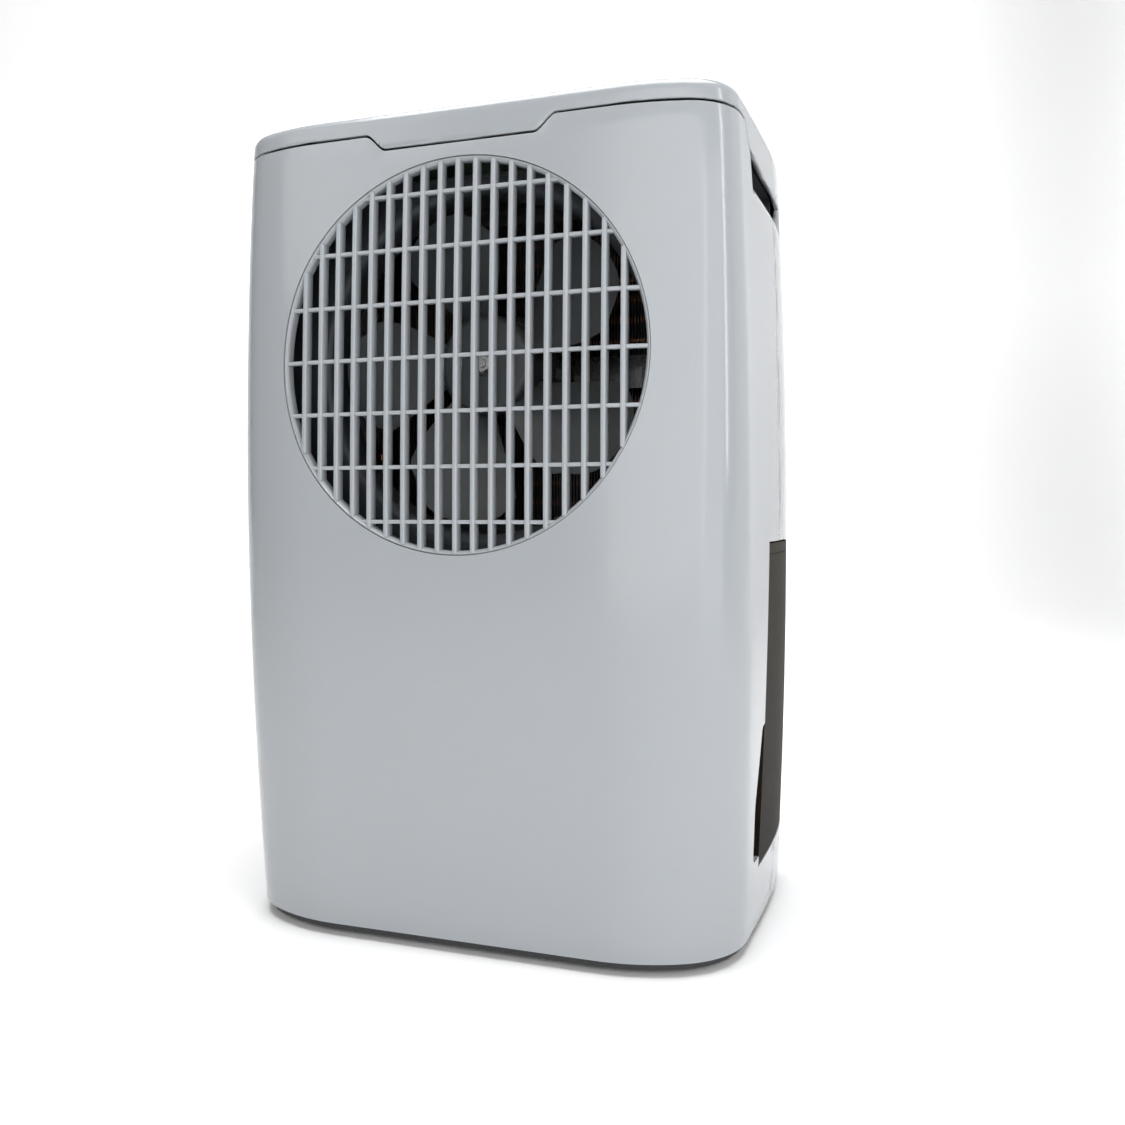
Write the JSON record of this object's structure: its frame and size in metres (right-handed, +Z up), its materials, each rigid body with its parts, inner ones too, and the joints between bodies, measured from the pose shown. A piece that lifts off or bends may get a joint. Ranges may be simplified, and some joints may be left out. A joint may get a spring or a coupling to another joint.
{
  "type": "dehumidifier",
  "caption": "Portable compressor room dehumidifier with a round front fan grille, a top control deck and a water tank that slides out at the rear.",
  "frame": {"origin": "on the floor under the middle of the body", "axes": "+Z up, -Y towards the front grille, +X to the right seen from the front"},
  "size_m": [0.31, 0.2199, 0.465],
  "materials": {
    "casing": "smooth gloss",
    "dark_plastic": "fine grain",
    "shroud_plastic": "satin",
    "fan_plastic": "satin",
    "tank_plastic": "smoked translucent",
    "white_plastic": "satin",
    "knob_plastic": "satin",
    "button_plastic": "satin",
    "lamp_lens": "clear lens",
    "rubber": "matt",
    "copper": "drawn copper tube",
    "coil_aluminium": "thin fins",
    "steel": "zinc plated",
    "black_enamel": "baked enamel",
    "circuit_board": "coated board",
    "filter_gauze": "fine net"
  },
  "bodies": {
    "root": {"accumulator": "black_enamel", "accumulator_pipe": "copper", "base_pan": "dark_plastic", "capillary_tube": "copper", "compressor_body": "black_enamel", "compressor_grommet_1": "rubber", "compressor_grommet_2": "rubber", "compressor_grommet_3": "rubber", "condenser_coil": "coil_aluminium", "control_board": "circuit_board", "control_deck": "dark_plastic", "cord_gland": "rubber", "discharge_pipe": "copper", "drip_tray": "dark_plastic", "evaporator_coil": "coil_aluminium", "fan_motor": "black_enamel", "fan_shroud": "shroud_plastic", "filter_drier": "copper", "finger_cup_left": "dark_plastic", "finger_cup_right": "dark_plastic", "foot_front_left": "rubber", "foot_front_right": "rubber", "foot_rear_left": "rubber", "foot_rear_right": "rubber", "front_grille": "casing", "front_panel": "casing", "grip_insert_left": "dark_plastic", "grip_insert_right": "dark_plastic", "humidistat_body": "dark_plastic", "humidity_sensor": "dark_plastic", "liquid_line": "copper", "lower_rear_cover": "casing", "motor_strap": "steel", "power_lamp": "lamp_lens", "rear_screw_lower_left": "steel", "rear_screw_lower_right": "steel", "rear_screw_upper_left": "steel", "rear_screw_upper_right": "steel", "rear_shell": "casing", "run_capacitor": "steel", "suction_pipe": "copper", "tank_bay": "dark_plastic", "tank_full_lamp": "lamp_lens", "tank_switch": "dark_plastic", "terminal_cover": "dark_plastic", "timer_lamp": "lamp_lens", "top_cover": "casing"},
    "fan": {"fan_impeller": "fan_plastic", "fan_nut": "steel", "motor_shaft": "steel"},
    "tank": {"water_tank": "tank_plastic", "tank_lid": "tank_plastic"},
    "float": {"tank_float": "white_plastic"},
    "inlet": {"inlet_grille": "casing", "air_filter_frame": "dark_plastic", "air_filter_mesh": "filter_gauze"},
    "humidistat_knob": {"humidistat_knob": "knob_plastic"},
    "power_button": {"power_button": "button_plastic"},
    "fan_speed_button": {"fan_speed_button": "button_plastic"},
    "timer_button": {"timer_button": "button_plastic"}
  },
  "joints": [
    {"name": "fan_spin", "type": "hinge", "parent": "root", "child": "fan", "pos_m": [0, -0.057, 0.3263], "axis": [0, 1, 0], "continuous": true},
    {"name": "tank_slide", "type": "slide", "parent": "root", "child": "tank", "axis": [0, 1, 0], "range_m": [0, 0.15]},
    {"name": "float_swing", "type": "hinge", "parent": "tank", "child": "float", "pos_m": [-0.09, 0.01, 0.204], "axis": [1, 0, 0], "range_deg": [0, 14]},
    {"name": "inlet_pull", "type": "slide", "parent": "root", "child": "inlet", "axis": [0, 1, 0], "range_m": [0, 0.03]},
    {"name": "humidistat_turn", "type": "hinge", "parent": "root", "child": "humidistat_knob", "pos_m": [-0.05, -0.052, 0.458], "axis": [0, 0, 1], "range_deg": [-135, 135]},
    {"name": "power_button_press", "type": "slide", "parent": "root", "child": "power_button", "axis": [0, 0, -1], "range_m": [0, 0.0012], "stiffness_N_per_m": 350},
    {"name": "fan_speed_button_press", "type": "slide", "parent": "root", "child": "fan_speed_button", "axis": [0, 0, -1], "range_m": [0, 0.0012], "stiffness_N_per_m": 350},
    {"name": "timer_button_press", "type": "slide", "parent": "root", "child": "timer_button", "axis": [0, 0, -1], "range_m": [0, 0.0012], "stiffness_N_per_m": 350}
  ]
}
